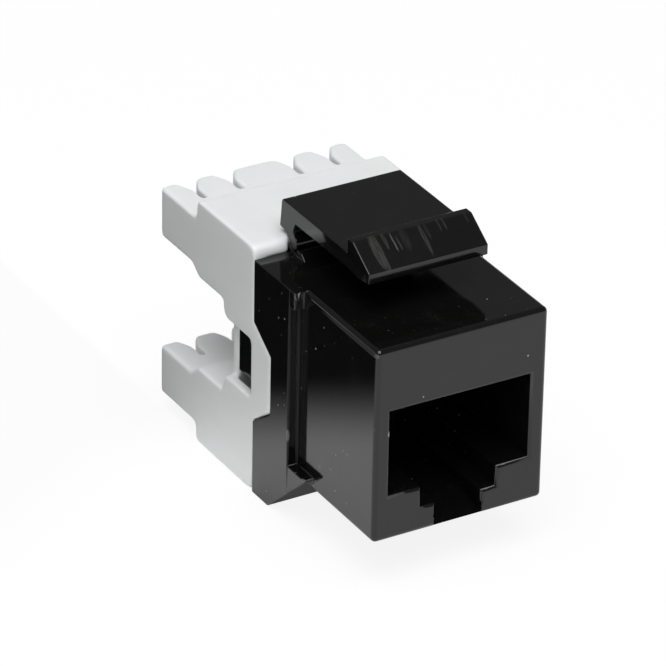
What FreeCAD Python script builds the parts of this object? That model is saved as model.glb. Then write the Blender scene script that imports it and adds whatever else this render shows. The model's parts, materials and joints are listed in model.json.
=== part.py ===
"""Keystone jack: a snap-in modular socket with a rear punch-down block.

The jack looks along -Y out of its panel. X runs across its width and Z points up
to the latch. Every sub-part is drawn from the underside of the front body and is
then lowered, so that the origin is the centre of the plug port on the front face.
All lengths are in millimetres.
"""
import FreeCAD, Part
import math
import os
import re

import Sketcher

# The sizes that drive the model. Changing one of them moves all that follows from it.
SIZES = {
    # Front body, the part that stands in the panel
    "face_wall": 1.3,
    "face_height": 16.0,
    "front_depth": 11.2,
    "edge_round": 0.4,
    "floor_wall": 1.0,
    # Flange behind the front body, with its brow and the ramped lug below
    "flange_step": 0.85,
    "brow_depth": 0.7,
    "brow_height": 1.4,
    "lug_reach": 2.5,
    "lug_top": 1.1,
    "lug_lip": 0.2,
    "foot_drop": 3.85,
    "foot_length": 2.4,
    "foot_round": 0.4,
    # Fixed catch under the front body
    "catch_width": 8.0,
    "catch_back": 8.2,
    "catch_length": 2.8,
    "catch_lead": 0.8,
    "catch_drop": 1.9,
    # Plug port with its two steps for the plug's tab
    "port_width": 11.9,
    "port_height": 7.0,
    "port_depth": 12.5,
    "key_width": 6.4,
    "key_drop": 1.7,
    "tab_width": 3.9,
    "tab_drop": 1.0,
    "lead_in": 0.2,
    "mouth_depth": 2.8,
    "mouth_open": 0.1,
    # Contact springs and the carrier that holds them
    "contact_count": 8,
    "contact_pitch": 1.02,
    "wire_width": 0.46,
    "wire_thick": 0.3,
    "wire_over": 1.3,
    "wire_out": 0.43,
    "wire_gap": 0.06,
    "fold_depth": 4.0,
    "fold_radius": 0.65,
    "spring_angle": 14.0,
    "spring_tuck": 0.65,
    "bay_clear": 0.35,
    "bay_margin": 0.8,
    "bay_over": 1.1,
    "sled_set": 0.4,
    "sled_skirt": 0.1,
    "carrier_lap": 0.2,
    "carrier_thick": 1.5,
    "comb_drop": 0.6,
    "comb_depth": 0.9,
    "comb_gap": 0.1,
    # Circuit board across the back of the housing
    "board_thick": 1.57,
    "board_width": 12.6,
    "board_cover": 1.5,
    "board_lift": 1.35,
    "board_recess": 0.93,
    "solder_room": 0.6,
    "hole_gap": 0.1,
    "fit_gap": 0.05,
    # Latch over the front body
    "latch_width": 10.1,
    "latch_rise": 3.8,
    "arm_thick": 1.3,
    "heel_reach": 1.35,
    "heel_lean": 0.25,
    "heel_rise": 1.4,
    "heel_round": 0.35,
    "neck_set": 0.4,
    "neck_rise": 1.8,
    "crook_set": 0.3,
    "hook_back": 8.25,
    "hook_length": 3.15,
    "hook_crest": 0.75,
    "hook_rise": 1.1,
    "nose_rise": 3.35,
    "belly_drop": 0.2,
    "pivot_rise": 0.8,
    "knuckle_radius": 0.6,
    "knuckle_gap": 0.06,
    "root_reach": 0.35,
    "root_length": 2.55,
    "root_flat": 1.95,
    "root_rise": 0.5,
    # Punch-down block
    "block_rise": 0.95,
    "block_wall": 0.85,
    "block_reach": 14.7,
    "main_reach": 8.9,
    "finger_step": 1.53,
    "finger_thick": 4.17,
    "finger_bevel": 0.35,
    "step_round": 0.4,
    "throat_step": 0.8,
    "throat_reach": 3.8,
    "taper_length": 1.1,
    "tip_chamfer": 0.45,
    "tip_round": 0.3,
    "front_round": 0.7,
    "web_reach": 4.7,
    "web_thick": 0.9,
    "cap_wall": 1.15,
    "strap_reach": 2.54,
    "strap_half": 2.4,
    "strap_spread": 1.8,
    "window_step": 0.5,
    "window_set": 1.45,
    "window_round": 0.8,
    "snap_clear": 0.55,
    "snap_wall": 0.8,
    "snap_catch": 0.45,
    "snap_land": 0.4,
    "snap_ramp": 0.8,
    # Slots for the wires and the terminals behind them
    "outer_slot": 5.85,
    "inner_slot": 2.65,
    "slot_width": 0.4,
    "slot_depth": 3.2,
    "funnel_depth": 1.6,
    "funnel_width": 1.5,
    "terminal_width": 2.2,
    "terminal_thick": 0.4,
    "terminal_set": 1.9,
    "tail_width": 0.5,
    "tail_shift": 0.6,
    "tail_out": 0.4,
    "slit_width": 0.3,
    "slit_depth": 3.1,
    "fork_mouth": 0.9,
    "fork_lead": 0.6,
    "channel_gap": 0.1,
}

# The places that follow from the driving sizes, worked out in the same sheet.
PLACES = {
    # Along the jack, from the front face to the rear
    "lug_front": "front_depth - lug_reach",
    "catch_front": "catch_back - catch_length",
    "nose_front": "hook_back - hook_length",
    "bay_front": "fold_depth - fold_radius - bay_clear",
    "sled_front": "bay_front + sled_set",
    "spring_back": "port_depth + spring_tuck",
    "board_front": "port_depth + carrier_thick",
    "board_back": "board_front + board_thick",
    "tail_front": "board_front - tail_out",
    "wire_back": "board_back + wire_out",
    "housing_depth": "board_back + board_recess",
    "ramp_end": "housing_depth - foot_length",
    "strap_front": "housing_depth - strap_reach",
    "pivot_back": "housing_depth - neck_set",
    "neck_front": "housing_depth - neck_set",
    "crook_front": "neck_front - crook_set",
    "heel_back": "housing_depth + heel_reach",
    "root_back": "housing_depth + root_reach",
    "root_foot": "root_back - root_length",
    "root_top": "root_back - root_flat",
    "window_front": "housing_depth + window_step",
    "web_back": "housing_depth + web_reach",
    "taper_front": "web_back + throat_reach",
    "taper_back": "taper_front + taper_length",
    "step_back": "housing_depth + main_reach",
    "block_back": "housing_depth + block_reach",
    "slot_front": "block_back - slot_depth",
    "funnel_front": "block_back - funnel_depth",
    "terminal_back": "block_back - terminal_set",
    "slit_front": "terminal_back - slit_depth",
    # Up the jack, from the underside of the front body
    "port_rise": "floor_wall + tab_drop + key_drop + port_height / 2",
    "port_low": "port_rise - port_height / 2",
    "port_top": "port_rise + port_height / 2",
    "key_floor": "port_low - key_drop",
    "tab_floor": "key_floor - tab_drop",
    "carrier_floor": "key_floor",
    "wire_height": "port_top + wire_over",
    "bay_top": "wire_height + bay_over",
    "fold_height": "wire_height - fold_radius",
    "spring_end": "fold_height - fold_radius * cos(spring_angle * 1 deg)"
                  " - (spring_back - fold_depth + fold_radius * sin(spring_angle * 1 deg))"
                  " * tan(spring_angle * 1 deg)",
    "comb_floor": "spring_end - comb_drop",
    "board_low": "board_lift - foot_drop",
    "board_high": "face_height - board_cover",
    "block_mid": "(face_height + block_rise - foot_drop) / 2",
    "main_half": "(face_height + block_rise + foot_drop) / 2",
    "finger_half": "main_half - finger_step",
    "mouth_half": "finger_half - finger_thick",
    "throat_half": "mouth_half - throat_step",
    "row_half": "(finger_half + mouth_half) / 2",
    "window_half": "throat_half - window_set",
    "snap_half": "window_half - snap_clear",
    # Across the jack
    "face_width": "port_width + 2 * face_wall",
    "flange_width": "face_width + 2 * flange_step",
    "carrier_width": "port_width + 2 * carrier_lap",
    "bay_width": "(contact_count - 1) * contact_pitch + wire_width + 2 * bay_margin",
}

NAMED_SIZE = re.compile(r"[a-z][a-z_]*")

document = FreeCAD.newDocument("keystone_jack")
sheet = document.addObject("Spreadsheet::Sheet", "sizes")
for row, (name, value) in enumerate((SIZES | PLACES).items(), start=1):
    sheet.set(f"A{row}", name)
    sheet.set(f"B{row}", f"={value}")
    sheet.setAlias(f"B{row}", name)
document.recompute()


def bound(formula):
    """Write a formula of named sizes as an expression on the spreadsheet."""
    return NAMED_SIZE.sub(lambda found: "sizes." + found.group()
                          if found.group() in SIZES | PLACES else found.group(), formula)


def amount(formula):
    """Work out a formula of named sizes, in millimetres."""
    found = sheet.evalExpression(bound(formula))
    return float(getattr(found, "Value", found))


def new_body(label):
    """Start one sub-part, lowered so that the origin is the centre of the plug port."""
    body = document.addObject("PartDesign::Body", label)
    body.Label = label
    body.setExpression("Placement.Base.z", bound("-port_rise"))
    return body


def new_sketch(body, plane, offset):
    """Add an empty sketch to a body, parallel to one of its origin planes."""
    sketch = body.newObject("Sketcher::SketchObject", body.Label + "_outline")
    support = [item for item in body.Origin.OriginFeatures if item.Role == plane][0]
    sketch.AttachmentSupport = [(support, "")]
    sketch.MapMode = "FlatFace"
    sketch.setExpression("AttachmentOffset.Base.z", bound(offset))
    return sketch


def hold(sketch, kind, where, formula):
    """Tie one coordinate or radius of a sketch to a formula of named sizes."""
    index = sketch.addConstraint(Sketcher.Constraint(kind, *where, amount(formula)))
    sketch.setExpression(f"Constraints[{index}]", bound(formula))


def outline(body, plane, loops, offset="0"):
    """Sketch closed polygons, each a list of corners given as pairs of formulas."""
    sketch = new_sketch(body, plane, offset)
    for corners in loops:
        places = [FreeCAD.Vector(amount(across), amount(along), 0) for across, along in corners]
        sides = [sketch.addGeometry(Part.LineSegment(start, end), False)
                 for start, end in zip(places, places[1:] + places[:1])]
        for side, following in zip(sides, sides[1:] + sides[:1]):
            sketch.addConstraint(Sketcher.Constraint("Coincident", side, 2, following, 1))
        for side, (across, along) in zip(sides, corners):
            hold(sketch, "DistanceX", (side, 1), across)
            hold(sketch, "DistanceY", (side, 1), along)
    return sketch


def circles(body, plane, centres, radius, offset="0"):
    """Sketch circles of one radius about centres given as pairs of formulas."""
    sketch = new_sketch(body, plane, offset)
    for across, along in centres:
        place = FreeCAD.Vector(amount(across), amount(along), 0)
        ring = sketch.addGeometry(Part.Circle(place, FreeCAD.Vector(0, 0, 1), amount(radius)), False)
        hold(sketch, "DistanceX", (ring, 3), across)
        hold(sketch, "DistanceY", (ring, 3), along)
        hold(sketch, "Radius", (ring,), radius)
    return sketch


def strap_corners(gap):
    """Return the side outline of a strap of the block, grown by a gap for its recess."""
    return [
        ("housing_depth", f"block_mid - strap_half - strap_spread - {gap}"),
        (f"strap_front - {gap}", f"block_mid - strap_half - {gap}"),
        (f"strap_front - {gap}", f"block_mid + strap_half + {gap}"),
        ("housing_depth", f"block_mid + strap_half + strap_spread + {gap}"),
    ]


def box_corners(left, right, low, high):
    """Return the corners of an upright rectangle as pairs of formulas."""
    return [(left, low), (right, low), (right, high), (left, high)]


def extrude(body, kind, sketch, length, symmetric=False, reverse=False):
    """Pad or pocket a sketch over a length given as a formula."""
    feature = body.newObject("PartDesign::" + kind, f"{body.Label}_{kind.lower()}")
    feature.Profile = sketch
    feature.setExpression("Length", bound(length))
    feature.Midplane = symmetric
    feature.Reversed = reverse
    sketch.Visibility = False
    document.recompute()
    return feature


def dress(body, kind, size, chosen):
    """Fillet or chamfer the edges of the body's last feature that a test picks out."""
    base = body.Tip
    names = [f"Edge{number}" for number, edge in enumerate(base.Shape.Edges, start=1)
             if chosen(edge)]
    feature = body.newObject("PartDesign::" + kind, f"{body.Label}_{kind.lower()}")
    feature.Base = (base, names)
    feature.setExpression("Radius" if kind == "Fillet" else "Size", bound(size))
    document.recompute()
    return feature


def runs_along(edge, axis):
    """Say whether a straight edge is parallel to an axis: 0 for X, 1 for Y, 2 for Z."""
    if len(edge.Vertexes) < 2:
        return False
    span = edge.Vertexes[1].Point - edge.Vertexes[0].Point
    return abs(span[axis]) > 0.999 * edge.Length


def lies_at(edge, axis, formula):
    """Say whether the whole of an edge lies at one coordinate of the body."""
    box = edge.BoundBox
    low = (box.XMin, box.YMin, box.ZMin)[axis]
    high = (box.XMax, box.YMax, box.ZMax)[axis]
    place = amount(formula)
    return abs(low - place) < 0.01 and abs(high - place) < 0.01


def build_housing():
    """The black moulding: front body, flange, lug, port, bays and snap arms."""
    body = new_body("housing")
    face = outline(body, "XZ_Plane",
                   [box_corners("-face_width / 2", "face_width / 2", "0", "face_height")])
    extrude(body, "Pad", face, "housing_depth", reverse=True)
    dress(body, "Fillet", "edge_round",
          lambda edge: runs_along(edge, 1) or lies_at(edge, 1, "0"))

    flange = outline(body, "YZ_Plane", [[
        ("front_depth - brow_depth", "face_height"),
        ("front_depth - brow_depth", "face_height - brow_height"),
        ("front_depth", "face_height - brow_height"),
        ("front_depth", "lug_top"),
        ("lug_front", "lug_top"),
        ("lug_front", "lug_top - lug_lip"),
        ("ramp_end", "-foot_drop"),
        ("housing_depth", "-foot_drop"),
        ("housing_depth", "face_height"),
    ]])
    extrude(body, "Pad", flange, "flange_width", symmetric=True)
    dress(body, "Fillet", "foot_round",
          lambda edge: runs_along(edge, 0) and lies_at(edge, 1, "ramp_end")
          and lies_at(edge, 2, "-foot_drop"))

    catch = outline(body, "YZ_Plane", [[
        ("catch_front", "0"),
        ("catch_front + catch_lead", "-catch_drop"),
        ("catch_back", "-catch_drop"),
        ("catch_back", "0"),
    ]])
    extrude(body, "Pad", catch, "catch_width", symmetric=True)
    build_latch_root(body)
    build_snap_arms(body)
    cut_port(body)
    cut_bays(body)
    cut_strap_recesses(body)
    return body


def build_latch_root(body):
    """The flared root that carries the latch, with the seat for its knuckle."""
    root = outline(body, "YZ_Plane", [[
        ("root_foot", "face_height"),
        ("root_back", "face_height"),
        ("root_back", "face_height + root_rise"),
        ("root_top", "face_height + root_rise"),
    ]])
    extrude(body, "Pad", root, "latch_width", symmetric=True)
    seat = circles(body, "YZ_Plane", [("pivot_back", "face_height + pivot_rise")],
                   "knuckle_radius + knuckle_gap")
    extrude(body, "Pocket", seat, "latch_width + knuckle_gap", symmetric=True)


def build_snap_arms(body):
    """Two arms behind the flange, each with the wedge that holds a strap of the block."""
    inner = "flange_width / 2 - block_wall - fit_gap - snap_wall"
    outer = "flange_width / 2 - block_wall - fit_gap"
    wedge = outer + " + snap_catch"
    back = "web_back - web_thick - 2 * fit_gap"
    arms = []
    for sign in ("", "-"):
        arms.append([
            (f"{sign}({inner})", "housing_depth"),
            (f"{sign}({outer})", "housing_depth"),
            (f"{sign}({outer})", "window_front + fit_gap"),
            (f"{sign}({wedge})", "window_front + fit_gap"),
            (f"{sign}({wedge})", "window_front + fit_gap + snap_land"),
            (f"{sign}({outer})", "window_front + fit_gap + snap_land + snap_ramp"),
            (f"{sign}({outer})", back),
            (f"{sign}({inner})", back),
        ])
    sketch = outline(body, "XY_Plane", arms, offset="block_mid - snap_half")
    extrude(body, "Pad", sketch, "2 * snap_half")


def cut_port(body):
    """The stepped plug port, its lead-in and the sloped mouth for the plug's tab."""
    port = outline(body, "XZ_Plane", [[
        ("-port_width / 2", "port_low"),
        ("-key_width / 2", "port_low"),
        ("-key_width / 2", "key_floor"),
        ("-tab_width / 2", "key_floor"),
        ("-tab_width / 2", "tab_floor"),
        ("tab_width / 2", "tab_floor"),
        ("tab_width / 2", "key_floor"),
        ("key_width / 2", "key_floor"),
        ("key_width / 2", "port_low"),
        ("port_width / 2", "port_low"),
        ("port_width / 2", "port_top"),
        ("-port_width / 2", "port_top"),
    ]])
    extrude(body, "Pocket", port, "port_depth")
    half_width = amount("port_width / 2") + 0.01
    floor = amount("tab_floor") - 0.01
    ceiling = amount("port_top") + 0.01
    dress(body, "Chamfer", "lead_in",
          lambda edge: lies_at(edge, 1, "0") and floor < edge.CenterOfMass.z < ceiling
          and abs(edge.CenterOfMass.x) < half_width)
    mouth = outline(body, "YZ_Plane", [[
        ("-mouth_open", "-mouth_open"),
        ("mouth_depth", "tab_floor"),
        ("-mouth_open", "tab_floor"),
    ]])
    extrude(body, "Pocket", mouth, "tab_width + lead_in", symmetric=True)


def cut_bays(body):
    """The spaces for the contact springs, their carrier and the circuit board."""
    contacts = outline(body, "XZ_Plane", [box_corners(
        "-bay_width / 2", "bay_width / 2", "port_rise", "bay_top")], offset="-bay_front")
    extrude(body, "Pocket", contacts, "board_front - bay_front")
    carrier = outline(body, "XZ_Plane", [box_corners(
        "-carrier_width / 2 - fit_gap", "carrier_width / 2 + fit_gap",
        "carrier_floor - fit_gap", "bay_top")], offset="-port_depth")
    extrude(body, "Pocket", carrier, "board_front - port_depth")
    board = outline(body, "XZ_Plane", [box_corners(
        "-board_width / 2 - fit_gap", "board_width / 2 + fit_gap",
        "board_low - fit_gap", "board_high + fit_gap")], offset="solder_room - board_front")
    extrude(body, "Pocket", board, "housing_depth - board_front + solder_room")


def cut_strap_recesses(body):
    """The recess in each side of the flange where a strap of the block lies."""
    floor = "flange_width / 2 - block_wall - fit_gap"
    right = outline(body, "YZ_Plane", [strap_corners("fit_gap")], offset=floor)
    extrude(body, "Pocket", right, "block_wall + fit_gap", reverse=True)
    left = outline(body, "YZ_Plane", [strap_corners("fit_gap")], offset=f"-({floor})")
    extrude(body, "Pocket", left, "block_wall + fit_gap")


def build_latch():
    """The sprung latch: knuckle, neck, heel, arm and the ramped hook at its front."""
    body = new_body("latch_arm")
    top = "face_height + latch_rise"
    under = "face_height + latch_rise - arm_thick"
    pivot = "face_height + pivot_rise"
    arm = outline(body, "YZ_Plane", [[
        ("heel_back", top),
        ("heel_back + heel_lean", "face_height + heel_rise"),
        ("pivot_back + 2 * knuckle_radius", "face_height + heel_rise - 2 * fit_gap"),
        ("pivot_back + knuckle_radius", pivot),
        ("pivot_back - knuckle_radius", pivot),
        ("neck_front", "face_height + neck_rise"),
        ("crook_front", under),
        ("hook_back", under),
        ("(hook_back + nose_front) / 2", under + " - belly_drop"),
        ("nose_front", under),
        ("nose_front", "face_height + nose_rise"),
        ("hook_back - hook_crest", top + " + hook_rise"),
        ("hook_back", top + " + hook_rise"),
        ("hook_back", top),
    ]])
    extrude(body, "Pad", arm, "latch_width", symmetric=True)
    knuckle = circles(body, "YZ_Plane", [("pivot_back", pivot)], "knuckle_radius")
    extrude(body, "Pad", knuckle, "latch_width", symmetric=True)
    dress(body, "Fillet", "heel_round",
          lambda edge: runs_along(edge, 0) and lies_at(edge, 1, "heel_back")
          and lies_at(edge, 2, top))
    return body


def build_block():
    """The white punch-down block: a capped C with two rows of fingers and two straps."""
    body = new_body("idc_block")
    upper = [
        ("housing_depth", "main_half"),
        ("step_back", "main_half"),
        ("step_back", "finger_half"),
        ("block_back", "finger_half"),
        ("block_back", "mouth_half + tip_chamfer"),
        ("block_back - tip_chamfer", "mouth_half"),
        ("taper_back", "mouth_half"),
        ("taper_front", "throat_half"),
        ("web_back", "throat_half"),
    ]
    corners = [(along, "block_mid + " + height) for along, height in upper]
    corners += [(along, f"block_mid - ({height})") for along, height in reversed(upper)]
    section = outline(body, "YZ_Plane", [corners])
    extrude(body, "Pad", section, "flange_width", symmetric=True)
    dress(body, "Fillet", "front_round",
          lambda edge: runs_along(edge, 0) and lies_at(edge, 1, "housing_depth"))
    dress(body, "Fillet", "step_round",
          lambda edge: runs_along(edge, 0) and lies_at(edge, 1, "step_back"))
    dress(body, "Fillet", "tip_round",
          lambda edge: runs_along(edge, 0) and lies_at(edge, 1, "block_back")
          and abs(edge.CenterOfMass.z - amount("block_mid")) > amount("row_half"))

    inner = "flange_width / 2 - block_wall"
    hollow = outline(body, "XZ_Plane", [box_corners(
        f"-({inner})", inner, "block_mid - main_half + cap_wall",
        "block_mid + main_half - cap_wall")], offset="-housing_depth")
    extrude(body, "Pocket", hollow, "web_back - web_thick - housing_depth")
    window = box_corners("window_front", "web_back", "block_mid - window_half",
                         "block_mid + window_half")
    for side, turned in ((inner, False), (f"-({inner})", True)):
        strap = outline(body, "YZ_Plane", [strap_corners("0")], offset=side)
        extrude(body, "Pad", strap, "block_wall", reverse=turned)
        opening = outline(body, "YZ_Plane", [window], offset=side)
        extrude(body, "Pocket", opening, "block_wall", reverse=not turned)
    dress(body, "Fillet", "window_round",
          lambda edge: runs_along(edge, 0) and lies_at(edge, 1, "web_back")
          and abs(abs(edge.CenterOfMass.z - amount("block_mid")) - amount("window_half")) < 0.01)

    relief = outline(body, "XZ_Plane", [box_corners(
        "-latch_width / 2 - 2 * fit_gap", "latch_width / 2 + 2 * fit_gap",
        "block_mid + main_half - cap_wall", "block_mid + main_half")],
        offset="-housing_depth")
    extrude(body, "Pocket", relief, "root_back - housing_depth + 2 * fit_gap")
    cut_slots(body)
    return body


def slot_places():
    """Return the centres of the slots across the block, from left to right."""
    return ["-outer_slot", "-inner_slot", "inner_slot", "outer_slot"]


def cut_slots(body):
    """The funnelled wire slots and the channels in which the terminals stand."""
    slots = []
    for centre in slot_places():
        slots.append([
            (centre + " - slot_width / 2", "slot_front"),
            (centre + " + slot_width / 2", "slot_front"),
            (centre + " + slot_width / 2", "funnel_front"),
            (centre + " + funnel_width / 2", "block_back - finger_bevel"),
            (centre + " + funnel_width / 2 + finger_bevel", "block_back"),
            (centre + " - funnel_width / 2 - finger_bevel", "block_back"),
            (centre + " - funnel_width / 2", "block_back - finger_bevel"),
            (centre + " - slot_width / 2", "funnel_front"),
        ])
    for sign in ("", "-"):
        slots.append([
            (f"{sign}(flange_width / 2)", "block_back - finger_bevel"),
            (f"{sign}(flange_width / 2)", "block_back"),
            (f"{sign}(flange_width / 2 - finger_bevel)", "block_back"),
        ])
    sketch = outline(body, "XY_Plane", slots, offset="block_mid")
    extrude(body, "Pocket", sketch, "2 * main_half", symmetric=True)
    channels = []
    for centre in slot_places():
        for level in ("block_mid - row_half", "block_mid + row_half"):
            channels.append(box_corners(
                centre + " - terminal_width / 2 - channel_gap",
                centre + " + terminal_width / 2 + channel_gap",
                level + " - terminal_thick / 2 - channel_gap",
                level + " + terminal_thick / 2 + channel_gap"))
    front = "web_back - web_thick"
    sketch = outline(body, "XZ_Plane", channels, offset=f"-({front})")
    extrude(body, "Pocket", sketch, f"terminal_back + channel_gap - ({front})")


def contact_place(number):
    """Return the place across the jack of one contact, counted from the left."""
    return f"({number} - (contact_count + 1) / 2) * contact_pitch"


def build_carrier():
    """The carrier: back wall of the port with its comb, and the sled over the springs."""
    body = new_body("contact_carrier")
    wall = outline(body, "XZ_Plane", [box_corners(
        "-carrier_width / 2", "carrier_width / 2", "carrier_floor", "bay_top - fit_gap")],
        offset="-port_depth - fit_gap")
    extrude(body, "Pad", wall, "board_front - port_depth - 2 * fit_gap", reverse=True)
    sled = outline(body, "XZ_Plane", [box_corners(
        "-bay_width / 2 + 2 * fit_gap", "bay_width / 2 - 2 * fit_gap",
        "wire_height - sled_skirt", "bay_top - fit_gap")], offset="-sled_front")
    extrude(body, "Pad", sled, "port_depth + fit_gap - sled_front", reverse=True)
    grooves = []
    combs = []
    for number in range(1, int(SIZES["contact_count"]) + 1):
        centre = contact_place(number)
        grooves.append(box_corners(f"{centre} - wire_width / 2 - wire_gap",
                                   f"{centre} + wire_width / 2 + wire_gap",
                                   "wire_height - wire_thick / 2 - wire_gap",
                                   "wire_height + wire_thick / 2 + wire_gap"))
        combs.append(box_corners(f"{centre} - wire_width / 2 - comb_gap",
                                 f"{centre} + wire_width / 2 + comb_gap",
                                 "comb_floor", "port_top"))
    sketch = outline(body, "XZ_Plane", grooves, offset="-sled_front")
    extrude(body, "Pocket", sketch, "board_front - sled_front")
    sketch = outline(body, "XZ_Plane", combs, offset="-port_depth - fit_gap")
    extrude(body, "Pocket", sketch, "comb_depth")
    return body


def build_board():
    """The circuit board, with a hole for each contact and each terminal tail."""
    body = new_body("circuit_board")
    plate = outline(body, "XZ_Plane", [box_corners(
        "-board_width / 2", "board_width / 2", "board_low", "board_high")],
        offset="-board_front")
    extrude(body, "Pad", plate, "board_thick", reverse=True)
    wires = [(contact_place(number), "wire_height")
             for number in range(1, int(SIZES["contact_count"]) + 1)]
    sketch = circles(body, "XZ_Plane", wires, "wire_width / 2 + hole_gap", offset="-board_front")
    extrude(body, "Pocket", sketch, "board_thick")
    tails = []
    for centre in slot_places():
        inward = " + tail_shift" if centre.startswith("-") else " - tail_shift"
        tails.append((centre + inward, "block_mid - row_half"))
        tails.append((centre + inward, "block_mid + row_half"))
    sketch = circles(body, "XZ_Plane", tails, "tail_width / 2 + hole_gap", offset="-board_front")
    extrude(body, "Pocket", sketch, "board_thick")
    return body


def build_contact(number):
    """One contact spring: a flat wire folded over the port, its free end in the comb."""
    body = new_body(f"contact_{number}")
    body.setExpression("Placement.Base.x", bound(contact_place(number)))
    fold = FreeCAD.Vector(amount("fold_depth"), amount("fold_height"), 0)
    radius = amount("fold_radius")
    angle = math.radians(amount("spring_angle"))
    foot = fold + FreeCAD.Vector(-math.sin(angle), -math.cos(angle), 0) * radius
    tip = FreeCAD.Vector(amount("spring_back"), amount("spring_end"), 0)
    back = FreeCAD.Vector(amount("wire_back"), amount("wire_height"), 0)
    crown = fold + FreeCAD.Vector(0, radius, 0)

    path = new_sketch(body, "YZ_Plane", "0")
    run = path.addGeometry(Part.LineSegment(back, crown), False)
    ring = Part.Circle(fold, FreeCAD.Vector(0, 0, 1), radius)
    bend = path.addGeometry(Part.ArcOfCircle(ring, math.pi / 2, 3 * math.pi / 2 - angle), False)
    limb = path.addGeometry(Part.LineSegment(foot, tip), False)
    path.addConstraint(Sketcher.Constraint("Horizontal", run))
    path.addConstraint(Sketcher.Constraint("Tangent", run, 2, bend, 1))
    path.addConstraint(Sketcher.Constraint("Tangent", bend, 2, limb, 1))
    hold(path, "DistanceX", (run, 1), "wire_back")
    hold(path, "DistanceY", (run, 1), "wire_height")
    hold(path, "DistanceX", (bend, 3), "fold_depth")
    hold(path, "Radius", (bend,), "fold_radius")
    hold(path, "DistanceX", (limb, 2), "spring_back")
    hold(path, "DistanceY", (limb, 2), "spring_end")

    section = outline(body, "XZ_Plane", [box_corners(
        "-wire_width / 2", "wire_width / 2", "wire_height - wire_thick / 2",
        "wire_height + wire_thick / 2")], offset="-wire_back")
    wire = body.newObject("PartDesign::AdditivePipe", f"{body.Label}_wire")
    wire.Profile = section
    wire.Spine = (path, ["Edge1", "Edge2", "Edge3"])
    document.recompute()
    return body


def build_terminal(number, centre, level):
    """One insulation-displacement terminal: a flat fork with a tail into the board."""
    body = new_body(f"idc_terminal_{number}")
    body.setExpression("Placement.Base.x", bound(centre))
    body.setExpression("Placement.Base.z", bound(level + " - port_rise"))
    if not centre.startswith("-"):
        body.setExpression("Placement.Rotation.Angle", "180 deg")
        body.Placement.Rotation = FreeCAD.Rotation(FreeCAD.Vector(0, 1, 0), 180)
    seat = "housing_depth + fit_gap"
    left = "tail_shift - tail_width / 2"
    right = "tail_shift + tail_width / 2"
    fork = outline(body, "XY_Plane", [[
        (left, "tail_front"),
        (right, "tail_front"),
        (right, seat),
        ("terminal_width / 2", seat),
        ("terminal_width / 2", "terminal_back"),
        ("fork_mouth / 2", "terminal_back"),
        ("slit_width / 2", "terminal_back - fork_lead"),
        ("slit_width / 2", "slit_front"),
        ("-slit_width / 2", "slit_front"),
        ("-slit_width / 2", "terminal_back - fork_lead"),
        ("-fork_mouth / 2", "terminal_back"),
        ("-terminal_width / 2", "terminal_back"),
        ("-terminal_width / 2", seat),
        (left, seat),
    ]])
    extrude(body, "Pad", fork, "terminal_thick", symmetric=True)
    return body


def check_and_write(bodies):
    """Stop if anything failed to build, then write each sub-part to its own file."""
    document.recompute()
    for item in document.Objects:
        if "Invalid" in item.State or "Error" in item.State:
            raise RuntimeError(f"{item.Label} did not build: {item.State}")
    os.makedirs("parts", exist_ok=True)
    for body in bodies:
        shape = body.Shape
        if shape.isNull() or not shape.isValid() or len(shape.Solids) != 1:
            raise RuntimeError(f"{body.Label} is not one valid solid")
        shape.exportStep(f"parts/{body.Label}.step")
        box = shape.BoundBox
        print(f"{body.Label:18s} {shape.Volume:9.3f} mm3  X {box.XMin:.2f} {box.XMax:.2f}"
              f"  Y {box.YMin:.2f} {box.YMax:.2f}  Z {box.ZMin:.2f} {box.ZMax:.2f}")


bodies = [build_housing(), build_latch(), build_block(), build_carrier(), build_board()]
for number in range(1, int(SIZES["contact_count"]) + 1):
    bodies.append(build_contact(number))
terminals = [(centre, level) for level in ("block_mid + row_half", "block_mid - row_half")
             for centre in slot_places()]
for number, (centre, level) in enumerate(terminals, start=1):
    bodies.append(build_terminal(number, centre, level))
check_and_write(bodies)
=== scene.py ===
import json
from math import atan2, cos, pi, radians, sin

import bmesh
import bpy
from bpy.props import FloatProperty, FloatVectorProperty, IntProperty, PointerProperty
from mathutils import Matrix, Vector

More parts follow.
